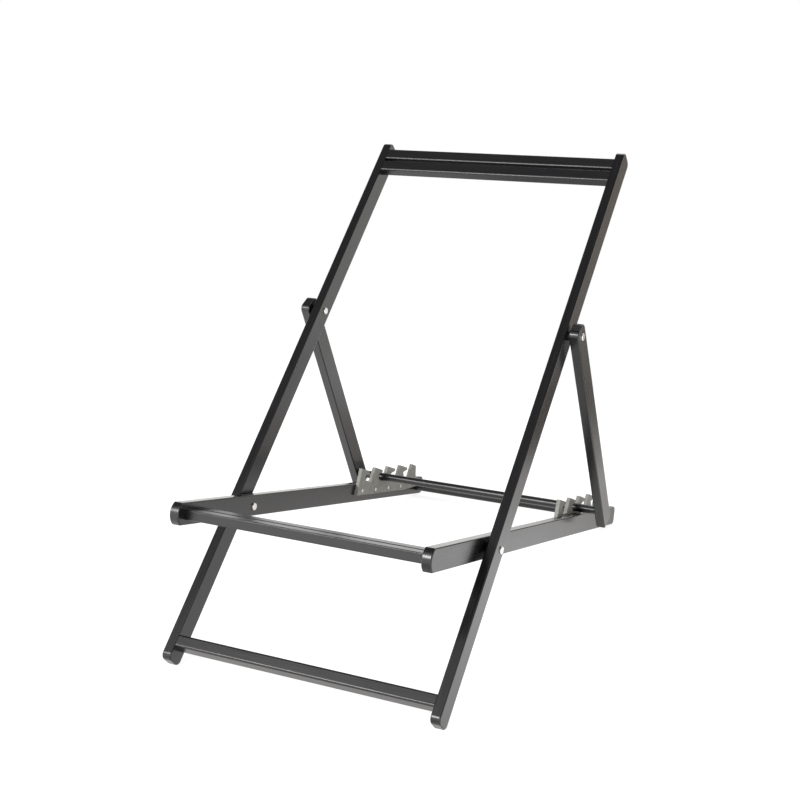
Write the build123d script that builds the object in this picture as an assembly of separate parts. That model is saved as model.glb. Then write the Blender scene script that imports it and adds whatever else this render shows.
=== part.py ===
from build123d import *
import math
import os

# A reclining deck chair without its sling: three timber frames that turn on four steel pivots.
# Millimetres. The chair faces -Y and +Z is up. Left is -X and right is +X, as seen from the front.
# The origin is on the floor, under the middle of the chair's length and width.

# Timber stock that the long rails and the seat rails share
frame_width = 580.0          # over the two long rails
rail_thickness = 19.6
rail_depth = 43.0
end_corner_radius = 12.5     # of the long rails' two ends and the struts' upper ends
edge_radius = 2.5            # rounded long edges of every rail
side_gap = 4.6               # between a long rail and the seat rail inside it

# Long rails: they run from the front feet up to the head
long_rail_length = 1308.0
foot_sole_depth = 1.0        # how much of the foot's rounded rear corner is cut off flat
seat_pivot_from_foot = 350.0
seat_pivot_from_face = 27.0  # below the long rail's front face
pivot_spacing = 484.0        # along the long rail, from the seat pivot up to the prop pivot
prop_pivot_from_face = 21.5

# Head slats: the sling's upper hem is threaded through the slot between them
head_slat_width = 28.0
head_slat_thickness = 22.4
head_slot = 6.4
head_slats_from_end = 20.0   # from the rails' head ends to the upper slat
slat_inset = 1.0             # slats and foot rail lie this far below the rails' front faces
slat_edge_radius = 4.0       # of the head slats and the foot rail

# Foot rail, between the long rails just above the feet
foot_rail_height = 24.0
foot_rail_depth = 34.8
foot_rail_from_foot = 27.2

# Seat rails: they slope down rearwards and stand on the floor at their rear ends
seat_rail_front = 265.0      # from the seat pivot forwards
seat_rail_rear = 831.0       # from the seat pivot rearwards
seat_pivot_from_top = 23.4
seat_nose_bulge = 11.4       # how far the rounded front end stands out
seat_nose_corner = 4.0
seat_tail_radius = 12.0
tail_sole_depth = 1.0

# Seat slats: the sling's lower hem is threaded through the slot between them
seat_slat_width = 29.0
seat_slat_thickness = 19.0
seat_slat_edge_radius = 2.0
seat_slot = 6.0
seat_slats_from_front = 26.0
seat_slats_from_top = 13.9   # below the seat rails' top edges

# Round bar between the seat rails' rear ends
rear_bar_diameter = 22.0
rear_bar_from_rear = 31.0
rear_bar_from_top = 23.4
rear_bar_socket = 10.0       # how far each end is let into its rail

# Prop frame: two struts outside the long rails and the round bar that drops into the notches
strut_gap = 6.8              # between a long rail and its strut
strut_thickness = 20.4
strut_depth = 43.0
strut_above_pivot = 22.0
prop_length = 494.0          # from the prop pivot to the bar's centre
strut_below_bar = 31.0       # from the bar's centre to the struts' square lower ends
strut_end_radius = 3.0
prop_bar_diameter = 18.0
prop_bar_socket = 16.0

# Notch racks: moulded strips screwed to the seat rails' inner faces
rack_thickness = 8.0
rack_front = 444.0           # front lower corner, from the seat pivot
tooth_pitch = 70.0
hook_count = 4
first_hook_from_front = 13.5 # along the rail, from the front lower corner to the first hook's top
rack_below_top = 26.4        # the rack's lower edge, below the rail's top edge
rack_tail_rise = 5.3         # the lower edge's rise towards the rear tip
rack_tail_slope_length = 75.0
notch_floor_lift = 2.3       # the notch floor stands this far above the rail's top edge
hook_height = 35.8           # above the rail's top edge, as all heights of the teeth
hook_reach = 40.0            # from a hook's front corner to its overhanging tip
hook_tip_height = 28.4
hook_tip_thickness = 5.6
hook_root_length = 27.0
hook_root_height = 20.6
post_length = 19.0
post_height = 17.8
post_neck_length = 23.0
post_neck_height = 10.6
post_foot_length = 29.0
post_front_rake = 15.0       # the post's front wall leans rearwards by this much over its height
last_tooth_length = 21.0
last_tooth_drop = 4.5
last_tooth_foot_length = 27.0
rack_tip_length = 36.0
notch_in_use = 2             # counted from the front, 1 to hook_count
rest_clearance = 0.3         # between the bar and the notch that carries it

# Steel pivots: a bolt with a low head, a cap nut and a washer that fills the gap between the rails
bolt_diameter = 8.0
bolt_head_diameter = 15.0
bolt_head_height = 2.6
nut_diameter = 15.0
nut_height = 3.2
nut_bore_depth = 2.2
head_round = 1.4             # rounded rim of the bolt heads and nuts
washer_diameter = 20.0
running_clearance = 0.05     # radial, of a bolt in its hole
axial_play = 0.3             # beside each rail that turns on a bolt
thread_end_gap = 0.2         # between the bolt's end and the bottom of the nut

# Wood screws that hold the racks
screw_head_diameter = 8.0
screw_head_height = 2.0
screw_shank_diameter = 3.8
screw_length = 20.0
screw_from_hook = 10.0
screw_below_top = 16.1
screw_head_round = 0.9

# Glued dowels inside the joints between rails and slats
dowel_diameter = 8.0
dowel_in_rail = 13.0
dowel_in_slat = 27.0
dowel_spacing = 14.0         # between the two dowels of one joint
glue_gap = 0.05
dowel_end_gap = 0.5

# Faces across the chair, from the outside to the middle
long_outer = frame_width / 2
long_inner = long_outer - rail_thickness
seat_outer = long_inner - side_gap
seat_inner = seat_outer - rail_thickness
strut_inner = long_outer + strut_gap
strut_outer = strut_inner + strut_thickness
bar_radius = prop_bar_diameter / 2
strut_length = prop_length + strut_below_bar


def turned(along, across, angle):
    """A vector (along, across) turned anticlockwise by an angle, as seen from the right."""
    y = along * math.cos(angle) - across * math.sin(angle)
    z = along * math.sin(angle) + across * math.cos(angle)
    return y, z


# The triangle of the open chair: seat pivot, prop pivot and the prop bar in its notch
def hook_front(number):
    """Distance from the seat pivot to a hook's top front corner; number 0 is the foremost hook."""
    return rack_front + first_hook_from_front + number * tooth_pitch


notch_floor = seat_pivot_from_top + notch_floor_lift
bar_up = notch_floor + rest_clearance + bar_radius
rake = math.atan2(post_front_rake, hook_height - notch_floor_lift)
wall_at_bar = hook_front(notch_in_use) - (seat_pivot_from_top + hook_height - bar_up) * math.tan(rake)
bar_back = wall_at_bar - (bar_radius + rest_clearance) / math.cos(rake)

prop_pivot_along = pivot_spacing
prop_pivot_across = seat_pivot_from_face - prop_pivot_from_face
pivot_distance = math.hypot(prop_pivot_along, prop_pivot_across)
bar_distance = math.hypot(bar_back, bar_up)
squares = pivot_distance**2 + bar_distance**2 - prop_length**2
angle_at_seat_pivot = math.acos(squares / (2 * pivot_distance * bar_distance))
bar_angle = math.atan2(bar_up, bar_back)
open_angle = angle_at_seat_pivot + bar_angle - math.atan2(prop_pivot_across, prop_pivot_along)

# The floor touches the rounded rear corners of the long rails' feet and of the seat rails
foot_along = end_corner_radius - seat_pivot_from_foot
foot_across = seat_pivot_from_face - rail_depth + end_corner_radius
foot_u, foot_v = turned(foot_along, foot_across, open_angle)
tail_u = seat_rail_rear - seat_tail_radius
tail_v = seat_pivot_from_top - rail_depth + seat_tail_radius
height_difference = (seat_tail_radius - tail_sole_depth) - (end_corner_radius - foot_sole_depth)
floor_span = math.hypot(tail_u - foot_u, tail_v - foot_v)
seat_slope = math.atan2(tail_v - foot_v, tail_u - foot_u) - math.asin(height_difference / floor_span)
long_slope = open_angle - seat_slope
foot_y, foot_z = turned(foot_along, foot_across, long_slope)
seat_pivot_z = end_corner_radius - foot_sole_depth - foot_z

# The chair's length runs from the feet's front corners to the seat rails' rear ends
toe_y, toe_z = turned(foot_along, seat_pivot_from_face - end_corner_radius, long_slope)
tail_y, tail_z = turned(tail_u, seat_pivot_from_top - seat_tail_radius, -seat_slope)
nose_y, nose_z = turned(-seat_rail_front, seat_pivot_from_top - rail_depth / 2, -seat_slope)
front_y = min(toe_y - end_corner_radius, nose_y)
rear_y = tail_y + seat_tail_radius
seat_pivot_y = -(front_y + rear_y) / 2

prop_y, prop_z = turned(prop_pivot_along, prop_pivot_across, long_slope)
bar_y, bar_z = turned(bar_back, bar_up, -seat_slope)
prop_slope = math.atan2(bar_z - prop_z, bar_y - prop_y)

# Folded flat: the seat rails lie between the long rails and the bar lies behind both
fold_of_seat = open_angle
deepest_face = max(rail_depth, seat_pivot_from_face + rail_depth - seat_pivot_from_top)
bar_behind_pivot = deepest_face + bar_radius + rest_clearance - prop_pivot_from_face
fold_of_prop = math.pi - (long_slope - prop_slope) - math.asin(bar_behind_pivot / prop_length)


def tilted(y, z, slope):
    """The frame of one set of rails: first axis rearwards at the slope, third axis to the right."""
    return Plane(origin=(0, y, z), x_dir=(0, math.cos(slope), math.sin(slope)), z_dir=(1, 0, 0))


long_y, long_z = turned(seat_pivot_from_foot, -seat_pivot_from_face, long_slope)
long_frame = tilted(seat_pivot_y - long_y, seat_pivot_z - long_z, long_slope)
seat_frame = tilted(seat_pivot_y, seat_pivot_z, -seat_slope)
prop_frame = tilted(seat_pivot_y + prop_y, seat_pivot_z + prop_z, prop_slope)

nodes = {}


def keep(name, shape, frame):
    """Put a shape that is drawn in one of the frames in its place on the chair."""
    nodes[name] = frame.location * shape


def keep_pair(name, shape, frame):
    """Keep a right-hand shape and its mirror image as two nodes."""
    keep(name + "_right", shape, frame)
    keep(name + "_left", mirror(shape, about=Plane.XY), frame)


def both_sides(shapes):
    """One group of separate solids: right-hand shapes and their mirror images."""
    mirrored = [mirror(shape, about=Plane.XY) for shape in shapes]
    return Compound(children=[solid for shape in list(shapes) + mirrored for solid in shape.solids()])


def strip(along_from, along_to, across_from, across_to):
    """A rectangle between two places along a frame and two places across it."""
    centre = Pos((along_from + along_to) / 2, (across_from + across_to) / 2)
    return centre * Rectangle(abs(along_to - along_from), abs(across_to - across_from))


def board(outline, x_from, x_to):
    """An outline extruded across the chair."""
    return Pos(0, 0, x_from) * extrude(outline, amount=x_to - x_from)


def soften(piece, radius):
    """Round the rims of a board's two side faces."""
    sides = piece.faces().sort_by(Axis.Z)
    return fillet(sides[0].edges() + sides[-1].edges(), radius=radius)


def rod(along, across, x_from, x_to, diameter):
    """A round bar across the chair."""
    length = abs(x_to - x_from)
    return Pos(along, across, (x_from + x_to) / 2) * Cylinder(diameter / 2, length)


def bolt_hole(along, across, x_from, x_to):
    return rod(along, across, x_from, x_to, bolt_diameter + 2 * running_clearance)


def dowel(along, across, joint_x):
    return rod(along, across, joint_x - dowel_in_slat, joint_x + dowel_in_rail, dowel_diameter)


def dowel_bore(along, across, joint_x):
    low = joint_x - dowel_in_slat - dowel_end_gap
    high = joint_x + dowel_in_rail + dowel_end_gap
    return rod(along, across, low, high, dowel_diameter + 2 * glue_gap)


def bored(piece, places, joint_x):
    """A right-hand rail with the dowel bores of one joint after another."""
    for along, across in places:
        piece -= dowel_bore(along, across, joint_x)
    return piece


def slat(along_from, along_to, across_from, across_to, half_length, edge, places):
    """A slat between two rails, with the bores for its dowels at both ends."""
    outline = strip(along_from, along_to, across_from, across_to)
    outline = fillet(outline.vertices(), radius=edge)
    piece = board(outline, -half_length, half_length)
    for along, across in places:
        bore = dowel_bore(along, across, half_length)
        piece -= bore
        piece -= mirror(bore, about=Plane.XY)
    return piece


# Slat places along the long rails
upper_slat_to = long_rail_length - head_slats_from_end
upper_slat_from = upper_slat_to - head_slat_width
lower_slat_to = upper_slat_from - head_slot
lower_slat_from = lower_slat_to - head_slat_width
foot_rail_to = foot_rail_from_foot + foot_rail_height
head_slat_middle = -slat_inset - head_slat_thickness / 2
foot_rail_middle = -slat_inset - foot_rail_depth / 2
upper_dowels = [((upper_slat_from + upper_slat_to) / 2, head_slat_middle)]
lower_dowels = [((lower_slat_from + lower_slat_to) / 2, head_slat_middle)]
foot_rail_centre = (foot_rail_from_foot + foot_rail_to) / 2
foot_dowels = [(foot_rail_centre, foot_rail_middle + side * dowel_spacing / 2) for side in (-1, 1)]

# Slat places along the seat rails, which run towards -1 times the first axis
front_slat_from = -seat_rail_front + seat_slats_from_front
front_slat_to = front_slat_from + seat_slat_width
rear_slat_from = front_slat_to + seat_slot
rear_slat_to = rear_slat_from + seat_slat_width
seat_slat_top = seat_pivot_from_top - seat_slats_from_top
seat_slat_bottom = seat_slat_top - seat_slat_thickness
seat_slat_middle = (seat_slat_top + seat_slat_bottom) / 2
front_slat_centre = (front_slat_from + front_slat_to) / 2
rear_slat_centre = (rear_slat_from + rear_slat_to) / 2
front_dowels = [(front_slat_centre + side * dowel_spacing / 2, seat_slat_middle) for side in (-1, 1)]
rear_dowels = [(rear_slat_centre + side * dowel_spacing / 2, seat_slat_middle) for side in (-1, 1)]
rear_bar_back = seat_rail_rear - rear_bar_from_rear
rear_bar_up = seat_pivot_from_top - rear_bar_from_top


def floor_block():
    """Everything below the floor, which cuts the soles flat."""
    depth = rail_depth
    return Pos(0, 0, -depth / 2) * Box(2 * frame_width, 4 * long_rail_length, depth)


# Long rails, with the places of their two pivots
seat_pivot_at = (seat_pivot_from_foot, -seat_pivot_from_face)
prop_pivot_at = (seat_pivot_from_foot + pivot_spacing, -prop_pivot_from_face)


def long_rail():
    outline = strip(0, long_rail_length, -rail_depth, 0)
    outline = fillet(outline.vertices(), radius=end_corner_radius)
    rail = soften(board(outline, long_inner, long_outer), edge_radius)
    for along, across in (seat_pivot_at, prop_pivot_at):
        rail -= bolt_hole(along, across, long_inner - edge_radius, long_outer + edge_radius)
    return bored(rail, upper_dowels + lower_dowels + foot_dowels, long_inner)


keep_pair("long_rail", long_rail(), long_frame)
for name in ("long_rail_right", "long_rail_left"):
    nodes[name] -= floor_block()

# Head slats and foot rail
slat_face = -slat_inset
head_back = slat_face - head_slat_thickness
head_span = (head_back, slat_face, long_inner, slat_edge_radius)
keep("head_slat_upper", slat(upper_slat_from, upper_slat_to, *head_span, upper_dowels), long_frame)
keep("head_slat_lower", slat(lower_slat_from, lower_slat_to, *head_span, lower_dowels), long_frame)
head_dowels = [dowel(along, across, long_inner) for along, across in upper_dowels + lower_dowels]
keep("head_dowels", both_sides(head_dowels), long_frame)
foot_back = slat_face - foot_rail_depth
foot_span = (foot_back, slat_face, long_inner, slat_edge_radius)
keep("foot_rail", slat(foot_rail_from_foot, foot_rail_to, *foot_span, foot_dowels), long_frame)
foot_rail_dowels = [dowel(along, across, long_inner) for along, across in foot_dowels]
keep("foot_rail_dowels", both_sides(foot_rail_dowels), long_frame)


# Seat rails
def seat_rail():
    top = seat_pivot_from_top
    bottom = top - rail_depth
    middle = (top + bottom) / 2
    shoulder = -seat_rail_front + seat_nose_bulge
    rear = seat_rail_rear
    edge = Polyline((shoulder, bottom), (rear, bottom), (rear, top), (shoulder, top))
    nose = ThreePointArc((shoulder, top), (-seat_rail_front, middle), (shoulder, bottom))
    outline = make_face(edge + nose)
    tail_corners = outline.vertices().sort_by(Axis.X)[-2:]
    outline = fillet(tail_corners, radius=seat_tail_radius)
    nose_corners = outline.vertices().sort_by(Axis.X)[:2]
    outline = fillet(nose_corners, radius=seat_nose_corner)
    rail = soften(board(outline, seat_inner, seat_outer), edge_radius)
    rail -= bolt_hole(0, 0, seat_inner - edge_radius, seat_outer + edge_radius)
    socket_diameter = rear_bar_diameter + 2 * glue_gap
    socket_to = seat_inner + rear_bar_socket + dowel_end_gap
    rail -= rod(rear_bar_back, rear_bar_up, seat_inner - edge_radius, socket_to, socket_diameter)
    for number in range(hook_count):
        along, across = screw_place(number)
        pilot_to = seat_inner - rack_thickness + screw_length + dowel_end_gap
        pilot_diameter = screw_shank_diameter + 2 * glue_gap
        rail -= rod(along, across, seat_inner - edge_radius, pilot_to, pilot_diameter)
    return bored(rail, front_dowels + rear_dowels, seat_inner)


def screw_place(number):
    """Where one of a rack's screws lies: one below each hook."""
    return hook_front(number) + screw_from_hook, seat_pivot_from_top - screw_below_top


keep_pair("seat_rail", seat_rail(), seat_frame)
for name in ("seat_rail_right", "seat_rail_left"):
    nodes[name] -= floor_block()

# Seat slats, their dowels and the rear bar
seat_slat_span = (seat_slat_bottom, seat_slat_top, seat_inner, seat_slat_edge_radius)
keep("seat_slat_front", slat(front_slat_from, front_slat_to, *seat_slat_span, front_dowels), seat_frame)
keep("seat_slat_rear", slat(rear_slat_from, rear_slat_to, *seat_slat_span, rear_dowels), seat_frame)
seat_dowels = [dowel(along, across, seat_inner) for along, across in front_dowels + rear_dowels]
keep("seat_dowels", both_sides(seat_dowels), seat_frame)
rear_bar_end = seat_inner + rear_bar_socket
rear_bar = rod(rear_bar_back, rear_bar_up, -rear_bar_end, rear_bar_end, rear_bar_diameter)
keep("seat_rear_bar", rear_bar, seat_frame)


# Notch racks and their screws
def rack_outline():
    """The toothed strip, from its front lower corner: overhanging hooks and a plain last tooth."""
    top = seat_pivot_from_top
    tail = hook_front(hook_count)
    points = [(rack_front, top - rack_below_top)]
    for number in range(hook_count):
        hook = hook_front(number)
        if number > 0:
            points.append((hook - post_front_rake, notch_floor))
        points.append((hook, top + hook_height))
        points.append((hook + hook_reach, top + hook_tip_height))
        points.append((hook + hook_reach, top + hook_tip_height - hook_tip_thickness))
        points.append((hook + hook_root_length, top + hook_root_height))
        points.append((hook + post_length, top + post_height))
        points.append((hook + post_neck_length, top + post_neck_height))
        points.append((hook + post_foot_length, notch_floor))
    points.append((tail - post_front_rake, notch_floor))
    points.append((tail, top + hook_height))
    points.append((tail + last_tooth_length, top + hook_height - last_tooth_drop))
    points.append((tail + last_tooth_foot_length, top))
    points.append((tail + rack_tip_length, top - rack_below_top + rack_tail_rise))
    points.append((tail + rack_tip_length - rack_tail_slope_length, top - rack_below_top))
    return make_face(Polyline(*points, close=True))


def rack():
    strip_body = board(rack_outline(), seat_inner - rack_thickness, seat_inner)
    for number in range(hook_count):
        along, across = screw_place(number)
        hole_diameter = screw_shank_diameter + 2 * glue_gap
        strip_body -= rod(along, across, seat_inner - 2 * rack_thickness, seat_outer, hole_diameter)
    return strip_body


def screw(number):
    along, across = screw_place(number)
    face = seat_inner - rack_thickness
    head = rod(along, across, face - screw_head_height, face, screw_head_diameter)
    head = fillet(head.faces().sort_by(Axis.Z)[0].edges(), radius=screw_head_round)
    return head + rod(along, across, face, face + screw_length, screw_shank_diameter)


keep_pair("notch_rack", rack(), seat_frame)
screws = Compound(children=[solid for number in range(hook_count) for solid in screw(number).solids()])
keep_pair("rack_screws", screws, seat_frame)


# Prop frame: struts and bar
def strut():
    half = strut_depth / 2
    outline = strip(-strut_above_pivot, strut_length, -half, half)
    lower_corners = outline.vertices().sort_by(Axis.X)[-2:]
    outline = fillet(lower_corners, radius=strut_end_radius)
    upper_corners = outline.vertices().sort_by(Axis.X)[:2]
    outline = fillet(upper_corners, radius=end_corner_radius)
    piece = soften(board(outline, strut_inner, strut_outer), edge_radius)
    piece -= bolt_hole(0, 0, strut_inner - edge_radius, strut_outer + edge_radius)
    socket_to = strut_inner + prop_bar_socket + dowel_end_gap
    socket_diameter = prop_bar_diameter + 2 * glue_gap
    return piece - rod(prop_length, 0, strut_inner - edge_radius, socket_to, socket_diameter)


keep_pair("prop_strut", strut(), prop_frame)
bar_end = strut_inner + prop_bar_socket
keep("prop_bar", rod(prop_length, 0, -bar_end, bar_end, prop_bar_diameter), prop_frame)


# Pivot bolts, cap nuts and washers
def bolt(along, across, head_face, nut_face):
    """A bolt whose low head is outside head_face and whose end is in the nut inside nut_face."""
    head = rod(along, across, head_face, head_face + bolt_head_height, bolt_head_diameter)
    head = fillet(head.faces().sort_by(Axis.Z)[-1].edges(), radius=head_round)
    end = nut_face - nut_bore_depth + thread_end_gap
    return head + rod(along, across, end, head_face, bolt_diameter)


def cap_nut(along, across, nut_face):
    nut = rod(along, across, nut_face - nut_height, nut_face, nut_diameter)
    nut = fillet(nut.faces().sort_by(Axis.Z)[0].edges(), radius=head_round)
    return nut - bolt_hole(along, across, nut_face - nut_bore_depth, nut_face + nut_bore_depth)


def washer(along, across, x_from, x_to):
    ring = rod(along, across, x_from, x_to, washer_diameter)
    return ring - bolt_hole(along, across, x_from - side_gap, x_to + side_gap)


keep_pair("seat_pivot_bolt", bolt(*seat_pivot_at, long_outer, seat_inner - axial_play), long_frame)
keep_pair("prop_pivot_bolt", bolt(*prop_pivot_at, strut_outer + axial_play, long_inner), long_frame)
keep("seat_pivot_nuts", both_sides([cap_nut(*seat_pivot_at, seat_inner - axial_play)]), long_frame)
keep("prop_pivot_nuts", both_sides([cap_nut(*prop_pivot_at, long_inner)]), long_frame)
seat_washer = washer(*seat_pivot_at, seat_outer + axial_play, long_inner)
keep("seat_pivot_washers", both_sides([seat_washer]), long_frame)
prop_washer = washer(*prop_pivot_at, long_outer, strut_inner - axial_play)
keep("prop_pivot_washers", both_sides([prop_washer]), long_frame)

os.makedirs("parts", exist_ok=True)
for name, shape in nodes.items():
    export_step(shape, "parts/" + name + ".step")
    print(name, "solids", len(shape.solids()), "volume", round(shape.volume))

print("long rails slope", round(math.degrees(long_slope), 3))
print("seat slopes", round(math.degrees(seat_slope), 3))
print("seat pivot y, z", round(seat_pivot_y, 3), round(seat_pivot_z, 3))
print("prop pivot y, z", round(seat_pivot_y + prop_y, 3), round(seat_pivot_z + prop_z, 3))
print("fold of the seat", round(math.degrees(fold_of_seat), 3))
print("fold of the prop", round(math.degrees(fold_of_prop), 3))
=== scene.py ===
# %% [markdown]
# The frame of a reclining deck chair
#
# The chair is three frames of black lacquered beech: the back with its two long rails, the seat,
# and the prop that holds the back up. Steel bolts join them, and two toothed racks carry the
# prop's bar. Every piece already has its right shape in the CAD model, so this lesson is about
# finishes: what each surface is made of, how it was made, and what that does to the light.

# %% Load the frame
import math
import bpy
from mathutils import Matrix, Vector


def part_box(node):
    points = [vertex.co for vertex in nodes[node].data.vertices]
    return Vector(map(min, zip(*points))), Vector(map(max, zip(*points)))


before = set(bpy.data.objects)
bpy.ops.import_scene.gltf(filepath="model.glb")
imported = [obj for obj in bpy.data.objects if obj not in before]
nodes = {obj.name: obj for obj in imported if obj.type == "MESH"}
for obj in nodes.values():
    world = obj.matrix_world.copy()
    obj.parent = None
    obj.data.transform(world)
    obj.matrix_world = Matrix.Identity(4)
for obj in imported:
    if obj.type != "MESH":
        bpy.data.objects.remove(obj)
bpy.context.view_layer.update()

# %% [markdown]
# Colours are written as sRGB hex, as a paint chart or a colour picker gives them. Shaders work in
# linear light, so one function turns the one into the other.

# %% Colour


def linear(code):
    """An sRGB hex colour as a linear RGBA tuple."""
    parts = [int(code[i:i + 2], 16) / 255 for i in (1, 3, 5)]
    steps = [c / 12.92 if c <= 0.04045 else ((c + 0.055) / 1.055) ** 2.4 for c in parts]
    return (*steps, 1.0)


WHITE = linear("#ffffff")
print("half-bright grey is", round(linear("#808080")[0], 3), "in linear light")

# %% [markdown]
# A material is a small graph of nodes. One function adds a node, sets its properties and its
# sockets and links what flows into it, so that each recipe below reads from top to bottom.

# %% Adding a node


def add(tree, kind, sockets=None, stops=None, **settings):
    """Add a node. A socket's value is a number, a colour or another node's output.

    Stops are the pairs of position and sRGB hex colour that a colour ramp needs.
    """
    node = tree.nodes.new(kind)
    for name, value in settings.items():
        setattr(node, name, value)
    for name, value in (sockets or {}).items():
        if isinstance(value, bpy.types.NodeSocket):
            tree.links.new(value, node.inputs[name])
        else:
            node.inputs[name].default_value = value
    if stops:
        elements = node.color_ramp.elements
        elements[0].position, elements[0].color = stops[0][0], linear(stops[0][1])
        elements[1].position, elements[1].color = stops[-1][0], linear(stops[-1][1])
        for position, colour in stops[1:-1]:
            elements.new(position).color = linear(colour)
    return node


def new_material(name):
    """An empty material with its surface output."""
    material = bpy.data.materials.new(name)
    material.use_nodes = True
    material.node_tree.nodes.clear()
    output = add(material.node_tree, "ShaderNodeOutputMaterial")
    return material, material.node_tree, output


# %% [markdown]
# Patterns are sized in millimetres. A noise texture of scale 1 repeats about once per unit, and
# the units are metres, so a pattern of so many millimetres has a scale of 1000 over that number.
# Wood grain runs along each rail, so the coordinates are turned until their second axis lies
# along the rail. The rails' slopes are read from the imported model.

# %% Grain along a rail
MM_PER_M = 1000.0


def per_metre(millimetres):
    """Texture scale of a pattern that repeats after this many millimetres."""
    return MM_PER_M / millimetres


def grain_scale(width, length):
    """Texture scale of a grain that is width by length millimetres."""
    return per_metre(width), per_metre(length), per_metre(width)


def middle(name):
    """The middle of a node's box."""
    low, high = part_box(name)
    return (Vector(low) + Vector(high)) / 2


def slope_between(start, end):
    """Angle above the floor of the line between two pieces' middles, seen from the side."""
    way = middle(end) - middle(start)
    return math.atan2(way.z, way.y)


def grain_space(tree, slope, across):
    """Coordinates in metres whose Y axis lies along the rail, or along X for a cross rail."""
    place = add(tree, "ShaderNodeTexCoord").outputs["Object"]
    turn = (0.0, 0.0, math.radians(90)) if across else (-slope, 0.0, 0.0)
    turned = add(tree, "ShaderNodeMapping", {"Vector": place, "Rotation": turn})
    return turned.outputs["Vector"]


slopes = {
    "long": slope_between("foot_rail", "head_slat_lower"),
    "seat": slope_between("seat_pivot_bolt_right", "seat_rear_bar"),
    "strut": slope_between("prop_pivot_bolt_right", "prop_bar"),
}
print("slopes in degrees:", {k: round(math.degrees(v), 2) for k, v in slopes.items()})

# %% [markdown]
# The timber is beech under a black lacquer, sprayed and lightly rubbed down. Lacquer is a clear
# hard film over a dark stain, so the surface is nearly black where it is seen straight on and
# turns grey at a flat angle, where it mirrors the bright floor. The film bridges the pores but
# follows them a little: fine long streaks show in the gloss more than in the colour. Three noise
# textures draw that: streaks, pores and the peel of the spray. A fourth, slow one makes the gloss
# a little patchy.

# %% Sizes of the lacquer's patterns
GRAIN_WIDTH_MM = 2.2       # across the rail; real beech rays are finer, but would not show
GRAIN_LENGTH_MM = 90.0
PORE_WIDTH_MM = 0.7
PORE_LENGTH_MM = 9.0
SPRAY_TEXTURE_MM = 1.6     # orange peel of sprayed lacquer
CLOUD_MM = 140.0           # slow changes of gloss along a rail
LACQUER_IOR = 1.52
STAIN_STOPS = [(0.30, "#0d0c0e"), (0.55, "#131214"), (0.78, "#1b1918")]
STREAK_RANGE = (0.25, 0.75)        # of the noise, over which the roughness rises
STREAK_ROUGHNESS = (-0.04, 0.05)   # what a streak adds to the roughness
CLOUD_ROUGHNESS = 0.06
PORE_RELIEF = {"Strength": 0.10, "Distance": 0.12 / MM_PER_M}
GRAIN_RELIEF = {"Strength": 0.16, "Distance": 0.4 / MM_PER_M}
PEEL_RELIEF = {"Strength": 0.05, "Distance": 0.1 / MM_PER_M}
print("streaks per metre:", round(per_metre(GRAIN_WIDTH_MM)))

# %% Black lacquer on beech


def lacquer(name, slope, across=False, roughness=0.20):
    """Black lacquer whose grain follows a rail of this slope, or lies across the chair."""
    material, tree, output = new_material(name)
    space = grain_space(tree, slope, across)
    along = add(tree, "ShaderNodeMapping", {
        "Vector": space, "Scale": grain_scale(GRAIN_WIDTH_MM, GRAIN_LENGTH_MM)}).outputs["Vector"]
    streaks = add(tree, "ShaderNodeTexNoise", {
        "Vector": along, "Scale": 1.0, "Detail": 6.0, "Roughness": 0.62,
        "Distortion": 0.6}).outputs["Fac"]
    short = add(tree, "ShaderNodeMapping", {
        "Vector": space, "Scale": grain_scale(PORE_WIDTH_MM, PORE_LENGTH_MM)}).outputs["Vector"]
    pores = add(tree, "ShaderNodeTexNoise", {
        "Vector": short, "Scale": 1.0, "Detail": 3.0, "Roughness": 0.5}).outputs["Fac"]
    peel = add(tree, "ShaderNodeTexNoise", {
        "Vector": space, "Scale": per_metre(SPRAY_TEXTURE_MM), "Detail": 2.0}).outputs["Fac"]
    cloud = add(tree, "ShaderNodeTexNoise", {
        "Vector": space, "Scale": per_metre(CLOUD_MM), "Detail": 2.0}).outputs["Fac"]
    colour = add(tree, "ShaderNodeValToRGB", {"Fac": streaks}, STAIN_STOPS).outputs["Color"]
    rough = add(tree, "ShaderNodeMapRange", {
        "Value": streaks, "From Min": STREAK_RANGE[0], "From Max": STREAK_RANGE[1],
        "To Min": roughness + STREAK_ROUGHNESS[0],
        "To Max": roughness + STREAK_ROUGHNESS[1]}).outputs["Result"]
    patchy = add(tree, "ShaderNodeMath", {0: cloud, 1: CLOUD_ROUGHNESS, 2: rough},
                 operation="MULTIPLY_ADD").outputs["Value"]
    relief = None
    for height, depth in ((pores, PORE_RELIEF), (streaks, GRAIN_RELIEF), (peel, PEEL_RELIEF)):
        under = {"Normal": relief} if relief else {}
        bump = add(tree, "ShaderNodeBump", {"Height": height, **depth, **under})
        relief = bump.outputs["Normal"]
    shader = add(tree, "ShaderNodeBsdfPrincipled", {
        "Base Color": colour, "Roughness": patchy, "IOR": LACQUER_IOR, "Normal": relief})
    tree.links.new(shader.outputs["BSDF"], output.inputs["Surface"])
    return material


lacquers = {
    "long": lacquer("black_lacquer_long_rails", slopes["long"]),
    "seat": lacquer("black_lacquer_seat_rails", slopes["seat"]),
    "strut": lacquer("black_lacquer_struts", slopes["strut"]),
    "cross": lacquer("black_lacquer_cross_rails", 0.0, across=True, roughness=0.29),
    "bar": lacquer("black_lacquer_round_bars", 0.0, across=True, roughness=0.28),
}
print("lacquers:", [m.name for m in lacquers.values()])

# %% [markdown]
# The racks are moulded in a grey-beige nylon filled with glass fibre, and the washers in a black
# one. The filler gives a dry, slightly cloudy surface with a fine tooth from the mould, so the
# gloss is broad and weak.

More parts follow.
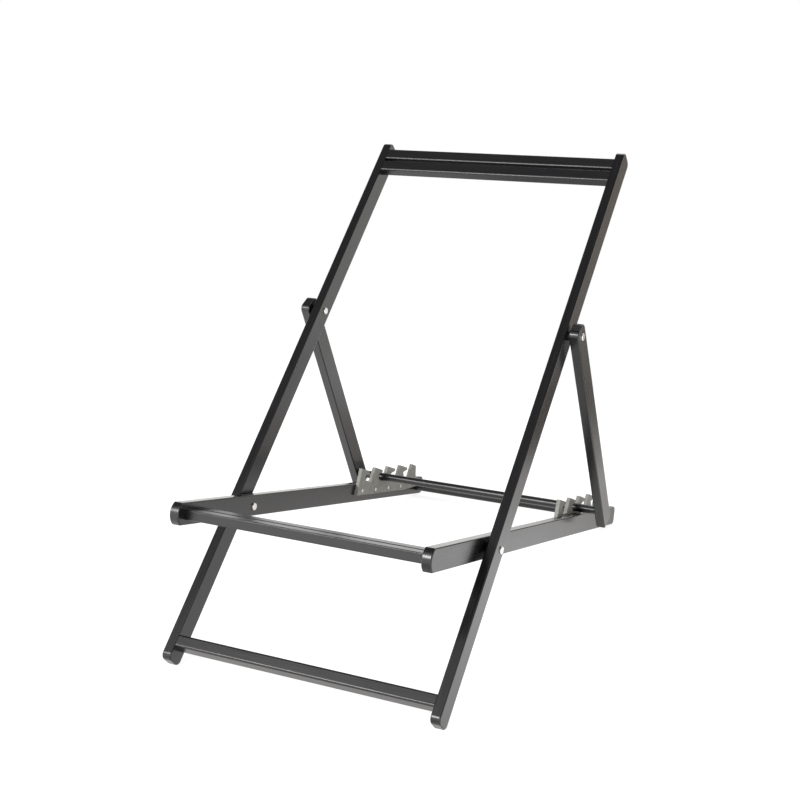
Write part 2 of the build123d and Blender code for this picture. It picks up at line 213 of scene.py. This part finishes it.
# %% Glass-filled nylon
MOULD_GRAIN_MM = 0.9       # spark-eroded mould texture, drawn coarser than real so that it shows
FLOW_MARK_MM = 22.0
TOOTH_SHARE = 0.45         # of the fine tooth, against the flow marks, in the colour
TOOTH_ROUGHNESS = (-0.08, 0.12)
TOOTH_RELIEF = {"Strength": 0.25, "Distance": 0.2 / MM_PER_M}
NYLON_IOR = 1.53


def filled_nylon(name, dark, pale, roughness):
    """Moulded nylon between a dark and a pale colour."""
    material, tree, output = new_material(name)
    place = add(tree, "ShaderNodeTexCoord").outputs["Object"]
    tooth = add(tree, "ShaderNodeTexNoise", {
        "Vector": place, "Scale": per_metre(MOULD_GRAIN_MM), "Detail": 4.0}).outputs["Fac"]
    flow = add(tree, "ShaderNodeTexNoise", {
        "Vector": place, "Scale": per_metre(FLOW_MARK_MM), "Detail": 3.0,
        "Distortion": 1.2}).outputs["Fac"]
    blend = add(tree, "ShaderNodeMath", {0: tooth, 1: TOOTH_SHARE, 2: flow},
                operation="MULTIPLY_ADD").outputs["Value"]
    colour = add(tree, "ShaderNodeValToRGB", {"Fac": blend},
                 [(0.45, dark), (1.0, pale)]).outputs["Color"]
    rough = add(tree, "ShaderNodeMapRange", {
        "Value": tooth, "To Min": roughness + TOOTH_ROUGHNESS[0],
        "To Max": roughness + TOOTH_ROUGHNESS[1]}).outputs["Result"]
    relief = add(tree, "ShaderNodeBump", {"Height": tooth, **TOOTH_RELIEF}).outputs["Normal"]
    shader = add(tree, "ShaderNodeBsdfPrincipled", {
        "Base Color": colour, "Roughness": rough, "IOR": NYLON_IOR, "Normal": relief})
    tree.links.new(shader.outputs["BSDF"], output.inputs["Surface"])
    return material


rack_nylon = filled_nylon("glass_filled_nylon", "#86867f", "#a4a39d", 0.55)
washer_nylon = filled_nylon("black_nylon", "#161616", "#242424", 0.45)
print("nylons:", rack_nylon.name, washer_nylon.name)

# %% [markdown]
# Bolts, nuts and screws are steel with a bright zinc plating. Under it the turned metal is never
# quite even: a fine roughness is left by the tool, and the plating's crystals blur it. A metal's
# colour is its reflection, so it keeps its default IOR.

# %% Zinc-plated steel
TOOL_MARK_MM = 0.5
ZINC_CRYSTAL_MM = 1.2      # real crystals are finer, but would not show
ZINC_PALE = "#e6e4df"
CRYSTAL_ROUGHNESS = (-0.06, 0.10)
TOOL_RELIEF = {"Strength": 0.12, "Distance": 0.1 / MM_PER_M}


def zinc_plate(name, base, roughness):
    """Zinc-plated steel of this base colour."""
    material, tree, output = new_material(name)
    place = add(tree, "ShaderNodeTexCoord").outputs["Object"]
    crystals = add(tree, "ShaderNodeTexNoise", {
        "Vector": place, "Scale": per_metre(ZINC_CRYSTAL_MM), "Detail": 5.0}).outputs["Fac"]
    marks = add(tree, "ShaderNodeTexNoise", {
        "Vector": place, "Scale": per_metre(TOOL_MARK_MM), "Detail": 1.0}).outputs["Fac"]
    colour = add(tree, "ShaderNodeValToRGB", {"Fac": crystals},
                 [(0.3, base), (0.75, ZINC_PALE)]).outputs["Color"]
    rough = add(tree, "ShaderNodeMapRange", {
        "Value": crystals, "To Min": roughness + CRYSTAL_ROUGHNESS[0],
        "To Max": roughness + CRYSTAL_ROUGHNESS[1]}).outputs["Result"]
    relief = add(tree, "ShaderNodeBump", {"Height": marks, **TOOL_RELIEF}).outputs["Normal"]
    shader = add(tree, "ShaderNodeBsdfPrincipled", {
        "Base Color": colour, "Metallic": 1.0, "Roughness": rough, "Normal": relief})
    tree.links.new(shader.outputs["BSDF"], output.inputs["Surface"])
    return material


bolt_zinc = zinc_plate("zinc_plated_bolts", "#cfcdc8", 0.26)
screw_zinc = zinc_plate("zinc_plated_screws", "#c8c6c0", 0.30)
print("metals:", bolt_zinc.name, screw_zinc.name)

# %% [markdown]
# The dowels are raw beech, turned to a round pin. They lie inside the joints, and a cut through a
# joint would show them pale against the lacquer.

# %% Raw beech
DOWEL_GRAIN_WIDTH_MM = 0.8
DOWEL_GRAIN_LENGTH_MM = 12.0
BEECH_STOPS = [(0.3, "#b98d62"), (0.7, "#d9b48a")]
BEECH_RELIEF = {"Strength": 0.2, "Distance": 0.2 / MM_PER_M}


def raw_beech(name):
    """Bare beech whose grain lies across the chair."""
    material, tree, output = new_material(name)
    space = grain_space(tree, 0.0, True)
    fine = grain_scale(DOWEL_GRAIN_WIDTH_MM, DOWEL_GRAIN_LENGTH_MM)
    along = add(tree, "ShaderNodeMapping", {"Vector": space, "Scale": fine}).outputs["Vector"]
    grain = add(tree, "ShaderNodeTexNoise", {
        "Vector": along, "Scale": 1.0, "Detail": 4.0}).outputs["Fac"]
    colour = add(tree, "ShaderNodeValToRGB", {"Fac": grain}, BEECH_STOPS).outputs["Color"]
    relief = add(tree, "ShaderNodeBump", {"Height": grain, **BEECH_RELIEF}).outputs["Normal"]
    shader = add(tree, "ShaderNodeBsdfPrincipled", {
        "Base Color": colour, "Roughness": 0.65, "IOR": 1.5, "Normal": relief})
    tree.links.new(shader.outputs["BSDF"], output.inputs["Surface"])
    return material


beech = raw_beech("raw_beech_dowels")
print("dowels:", beech.name)

# %% [markdown]
# Each CAD piece keeps its shape and takes the finish of its real counterpart. A finish is found
# by the first word in this list that a piece's name holds.

# %% Give every piece its finish
FINISHES = [
    ("dowels", beech),
    ("rack_screws", screw_zinc),
    ("washers", washer_nylon),
    ("pivot", bolt_zinc),
    ("notch_rack", rack_nylon),
    ("prop_bar", lacquers["bar"]),
    ("seat_rear_bar", lacquers["bar"]),
    ("long_rail", lacquers["long"]),
    ("seat_rail", lacquers["seat"]),
    ("prop_strut", lacquers["strut"]),
    ("slat", lacquers["cross"]),
    ("foot_rail", lacquers["cross"]),
]


def finish_of(name):
    """The first finish whose key is in a node's name."""
    return next(material for key, material in FINISHES if key in name)


for name, piece in nodes.items():
    for material_slot in piece.material_slots:
        material_slot.material = finish_of(name)
print("finished:", len(nodes), "pieces")

# %% [markdown]
# The floor is plain and white. The camera sees it glow evenly, with part of it left to real
# light, so that the chair's soft shadow stays. The lacquer's look is mostly what it mirrors, so
# gloss is given a floor like that of a studio, with painted shade on it: a painted shadow under
# the chair, a band of painted shade behind it, and a brown screen's foot at the back on the
# right.

# %% The floor that gloss mirrors
# painted shadow: gloss sees the floor darker under the chair, fading out sideways over
# SHADE_SIDES
PAINTED_CHAIR_SHADOW = "#d2d0cf"
SHADE_SIDES = (0.25, 0.42)     # metres from the chair's middle, over which the shade fades out
BACK_REACH = 1.6               # metres from the chair's middle to the floor's far edge
# painted shade: a dimmer band of floor behind the chair, between two white ones
BACK_SHADE_STOPS = [(0.18, "#ffffff"), (0.38, "#d9d7d5"), (0.60, "#d9d7d5"), (0.72, "#ffffff")]
SCREEN_LEFT = (0.50, 0.64)     # the screen's soft left edge on the floor, in metres
SCREEN_FRONT = (0.80, 0.96)    # and its soft front edge
SCREEN_LOW = "#5c544c"


def floor_in_gloss(tree):
    """The floor's colour as gloss mirrors it, with a painted shadow under the chair and painted
    shade behind it.
    """
    place = add(tree, "ShaderNodeTexCoord").outputs["Object"]
    parts = add(tree, "ShaderNodeSeparateXYZ", {0: place}).outputs
    # painted shadow of the chair: darker near the chair's middle, white beyond it at the sides
    sideways = add(tree, "ShaderNodeMath", {0: parts["X"]}, operation="ABSOLUTE").outputs["Value"]
    beyond = add(tree, "ShaderNodeMapRange", {
        "Value": sideways, "From Min": SHADE_SIDES[0],
        "From Max": SHADE_SIDES[1]}).outputs["Result"]
    # A Mix node's inputs 6 and 7 are its two colours, and its output 2 is the mixed one.
    under_chair_shadow = add(tree, "ShaderNodeMix", {"Factor": beyond, 6: linear(PAINTED_CHAIR_SHADOW), 7: WHITE},
               data_type="RGBA").outputs[2]
    # painted shade behind the chair, multiplied onto the painted shadow under it
    back = add(tree, "ShaderNodeMapRange", {
        "Value": parts["Y"], "From Min": 0.0, "From Max": BACK_REACH}).outputs["Result"]
    back_shade = add(tree, "ShaderNodeValToRGB", {"Fac": back}, BACK_SHADE_STOPS).outputs["Color"]
    painted_shades = add(tree, "ShaderNodeMix", {"Factor": 1.0, 6: under_chair_shadow, 7: back_shade}, data_type="RGBA",
                 blend_type="MULTIPLY").outputs[2]
    behind = add(tree, "ShaderNodeMapRange", {
        "Value": parts["Y"], "From Min": SCREEN_FRONT[0],
        "From Max": SCREEN_FRONT[1]}).outputs["Result"]
    beside = add(tree, "ShaderNodeMapRange", {
        "Value": parts["X"], "From Min": SCREEN_LEFT[0],
        "From Max": SCREEN_LEFT[1]}).outputs["Result"]
    screen = add(tree, "ShaderNodeMath", {0: behind, 1: beside},
                 operation="MULTIPLY").outputs["Value"]
    return add(tree, "ShaderNodeMix", {"Factor": screen, 6: painted_shades, 7: linear(SCREEN_LOW)},
               data_type="RGBA").outputs[2]


# %% [markdown]
# A floor that is white to the camera and still takes a shadow is a sum: most of it glows, and the
# rest is matt paper that needs the lamps. Everything else that looks at it gets plain pale paper.

# %% Floor
FLOOR_HALF_SIZE = 1.6
FLOOR_GLOW = 0.86
FLOOR_SHADED = 0.34            # the share that real light, and so the shadow, falls on
FLOOR_IN_GLOSS = 1.8           # a lit white floor is brighter than the white of a picture
FLOOR_PAPER = "#e4e2df"
FLOOR_GAP = 0.0002             # the floor lies this far under the feet


def floor_material():
    """White to the camera, a studio floor to gloss, and paper to all other light."""
    material, tree, output = new_material("studio_floor")
    path = add(tree, "ShaderNodeLightPath").outputs
    glow = add(tree, "ShaderNodeEmission", {
        "Color": WHITE, "Strength": FLOOR_GLOW}).outputs["Emission"]
    paper = add(tree, "ShaderNodeBsdfDiffuse", {
        "Color": (FLOOR_SHADED, FLOOR_SHADED, FLOOR_SHADED, 1)}).outputs["BSDF"]
    seen = add(tree, "ShaderNodeAddShader", {0: glow, 1: paper}).outputs["Shader"]
    lit = add(tree, "ShaderNodeEmission", {
        "Color": floor_in_gloss(tree), "Strength": FLOOR_IN_GLOSS}).outputs["Emission"]
    bounce = add(tree, "ShaderNodeBsdfDiffuse", {"Color": linear(FLOOR_PAPER)}).outputs["BSDF"]
    glossy = add(tree, "ShaderNodeMath", {
        0: path["Is Glossy Ray"], 1: path["Is Transmission Ray"]},
        operation="MAXIMUM").outputs["Value"]
    other = add(tree, "ShaderNodeMixShader", {0: glossy, 1: bounce, 2: lit}).outputs["Shader"]
    total = add(tree, "ShaderNodeMixShader", {
        0: path["Is Camera Ray"], 1: other, 2: seen}).outputs["Shader"]
    tree.links.new(total, output.inputs["Surface"])
    return material


corners = [(x * FLOOR_HALF_SIZE, y * FLOOR_HALF_SIZE, 0)
           for x, y in ((-1, -1), (1, -1), (1, 1), (-1, 1))]
floor_mesh = bpy.data.meshes.new("floor")
floor_mesh.from_pydata(corners, [], [(0, 1, 2, 3)])
floor = bpy.data.objects.new("floor", floor_mesh)
floor.location.z = -FLOOR_GAP
floor.data.materials.append(floor_material())
bpy.context.scene.collection.objects.link(floor)
print("floor:", floor.name, "side in metres:", 2 * FLOOR_HALF_SIZE)

# %% [markdown]
# The world is the room. To the camera it is white, so the chair stands free. Gloss sees pale
# walls and a dim ceiling that starts above the lamps: it keeps the faces that look up nearly
# black. Behind the chair on the right stands a brown screen, which the outer faces of the
# right-hand rails mirror at their upper ends. Soft light from all round fills the shadows.

# %% The brown screen
SCREEN_FROM = math.radians(3.0)        # angles from +Y towards +X
SCREEN_TO = math.radians(23.0)
SCREEN_FOOT = math.sin(math.radians(-25.0))
SCREEN_TOP = math.sin(math.radians(-5.0))
SCREEN_HIGH = "#7f7368"
SCREEN_EDGE = 0.03                     # half the width of its soft edges


def brown_screen(tree, parts):
    """1 where the screen stands and 0 elsewhere."""
    azimuth = add(tree, "ShaderNodeMath", {0: parts["X"], 1: parts["Y"]},
                  operation="ARCTAN2").outputs["Value"]
    edges = ((azimuth, SCREEN_FROM, SCREEN_EDGE), (azimuth, SCREEN_TO, -SCREEN_EDGE),
             (parts["Z"], SCREEN_FOOT, SCREEN_EDGE))
    inside = None
    for value, edge, soft in edges:
        side = add(tree, "ShaderNodeMapRange", {
            "Value": value, "From Min": edge - soft, "From Max": edge + soft}).outputs["Result"]
        if inside:
            side = add(tree, "ShaderNodeMath", {0: inside, 1: side},
                       operation="MULTIPLY").outputs["Value"]
        inside = side
    return inside


# %% [markdown]
# Walls and ceiling are two colour ramps that run from the back of the room to its front. The
# height of a direction chooses between them, and the screen stands in front of both.

# %% Room
ROOM_FILL = 0.45
ROOM_IN_GLOSS = 2.0
CEILING_RISE = (0.25, 0.50)    # walls turn to ceiling between these heights on the unit sphere
WALL_STOPS = [(0.0, "#e1e1e0"), (0.5, "#e1e1e0"), (0.8, "#ffffff")]
CEILING_STOPS = [(0.0, "#59595b"), (0.60, "#59595b"), (0.66, "#69696b"), (0.685, "#b9b9ba"),
                 (0.75, "#d4d4d5")]


def mirrored_room(tree):
    """The room's colour as gloss mirrors it."""
    direction = add(tree, "ShaderNodeTexCoord").outputs["Generated"]
    parts = add(tree, "ShaderNodeSeparateXYZ", {0: direction}).outputs
    forward = add(tree, "ShaderNodeMapRange", {
        "Value": parts["Y"], "From Min": 1.0, "From Max": -1.0}).outputs["Result"]
    walls = add(tree, "ShaderNodeValToRGB", {"Fac": forward}, WALL_STOPS).outputs["Color"]
    ceiling = add(tree, "ShaderNodeValToRGB", {"Fac": forward}, CEILING_STOPS).outputs["Color"]
    height = add(tree, "ShaderNodeMapRange", {
        "Value": parts["Z"], "From Min": CEILING_RISE[0],
        "From Max": CEILING_RISE[1]}).outputs["Result"]
    shell = add(tree, "ShaderNodeMix", {"Factor": height, 6: walls, 7: ceiling},
                data_type="RGBA").outputs[2]
    rise = add(tree, "ShaderNodeMapRange", {
        "Value": parts["Z"], "From Min": SCREEN_FOOT, "From Max": SCREEN_TOP}).outputs["Result"]
    brown = add(tree, "ShaderNodeMix", {
        "Factor": rise, 6: linear(SCREEN_LOW), 7: linear(SCREEN_HIGH)},
        data_type="RGBA").outputs[2]
    return add(tree, "ShaderNodeMix", {"Factor": brown_screen(tree, parts), 6: shell, 7: brown},
               data_type="RGBA").outputs[2]


def build_room():
    """White to the camera, the studio to gloss, and an even fill to all other light."""
    world = bpy.data.worlds.new("studio")
    bpy.context.scene.world = world
    world.use_nodes = True
    tree = world.node_tree
    tree.nodes.clear()
    output = add(tree, "ShaderNodeOutputWorld")
    path = add(tree, "ShaderNodeLightPath").outputs
    fill = add(tree, "ShaderNodeBackground", {
        "Color": WHITE, "Strength": ROOM_FILL}).outputs["Background"]
    mirrored = add(tree, "ShaderNodeBackground", {
        "Color": mirrored_room(tree), "Strength": ROOM_IN_GLOSS}).outputs["Background"]
    white = add(tree, "ShaderNodeBackground", {
        "Color": WHITE, "Strength": 1.0}).outputs["Background"]
    glossy = add(tree, "ShaderNodeMath", {
        0: path["Is Glossy Ray"], 1: path["Is Transmission Ray"]},
        operation="MAXIMUM").outputs["Value"]
    other = add(tree, "ShaderNodeMixShader", {
        0: glossy, 1: fill, 2: mirrored}).outputs["Shader"]
    total = add(tree, "ShaderNodeMixShader", {
        0: path["Is Camera Ray"], 1: other, 2: white}).outputs["Shader"]
    tree.links.new(total, output.inputs["Surface"])
    return world


print("room:", build_room().name)

# %% [markdown]
# Two soft boxes light the chair. The key is a low, wide window in front on the left: rounded
# edges and ends mirror it as short bright bars, and flat faces look past it. A larger, weaker one
# overhead and behind lights what faces up.

# %% Lights
LOOK_AT = Vector((0.0, 0.0, 0.42))

# name, direction from the chair, distance, width and height in metres, and power in watts
SOFT_BOXES = [
    ("key", (-0.37, -0.82, 0.48), 3.4, 1.4, 0.8, 85.0),
    ("overhead", (0.15, 0.75, 0.9), 3.6, 2.4, 1.2, 45.0),
]


def soft_box(name, direction, distance, width, height, power):
    """An area light that faces the chair from a direction."""
    light = bpy.data.lights.new(name, "AREA")
    light.shape = "RECTANGLE"
    light.size = width
    light.size_y = height
    light.energy = power
    lamp = bpy.data.objects.new(name, light)
    lamp.location = LOOK_AT + Vector(direction).normalized() * distance
    lamp.rotation_euler = (LOOK_AT - lamp.location).to_track_quat("-Z", "Y").to_euler()
    bpy.context.scene.collection.objects.link(lamp)
    return lamp


for soft_box_values in SOFT_BOXES:
    print("light:", soft_box(*soft_box_values).name)

# %% [markdown]
# The camera stands to the chair's right front, at a standing person's chest, and looks a little
# down. Its place and lens come from fitting the chair's straight edges to the picture.

# %% Camera
CAMERA_PLACE = (1.13190, -2.39466, 1.21257)
CAMERA_YAW = math.radians(26.176)
CAMERA_PITCH = math.radians(-16.636)
CAMERA_ROLL = math.radians(-0.585)
LENS_MM = 60.087
SENSOR_MM = 36.0


def camera_matrix():
    """The camera's place and its turn, from yaw, pitch and roll."""
    forward = Vector((-math.sin(CAMERA_YAW) * math.cos(CAMERA_PITCH),
                      math.cos(CAMERA_YAW) * math.cos(CAMERA_PITCH), math.sin(CAMERA_PITCH)))
    level = Vector((math.cos(CAMERA_YAW), math.sin(CAMERA_YAW), 0.0))
    upright = level.cross(forward)
    right = math.cos(CAMERA_ROLL) * level + math.sin(CAMERA_ROLL) * upright
    up = -math.sin(CAMERA_ROLL) * level + math.cos(CAMERA_ROLL) * upright
    turn = Matrix((right, up, -forward)).transposed().to_4x4()
    return Matrix.Translation(CAMERA_PLACE) @ turn


camera_data = bpy.data.cameras.new("camera")
camera_data.lens = LENS_MM
camera_data.sensor_width = SENSOR_MM
camera = bpy.data.objects.new("camera", camera_data)
camera.matrix_world = camera_matrix()
bpy.context.scene.collection.objects.link(camera)
bpy.context.scene.camera = camera
bpy.context.scene.view_settings.view_transform = "Standard"
print("camera at", tuple(round(v, 3) for v in camera.location))
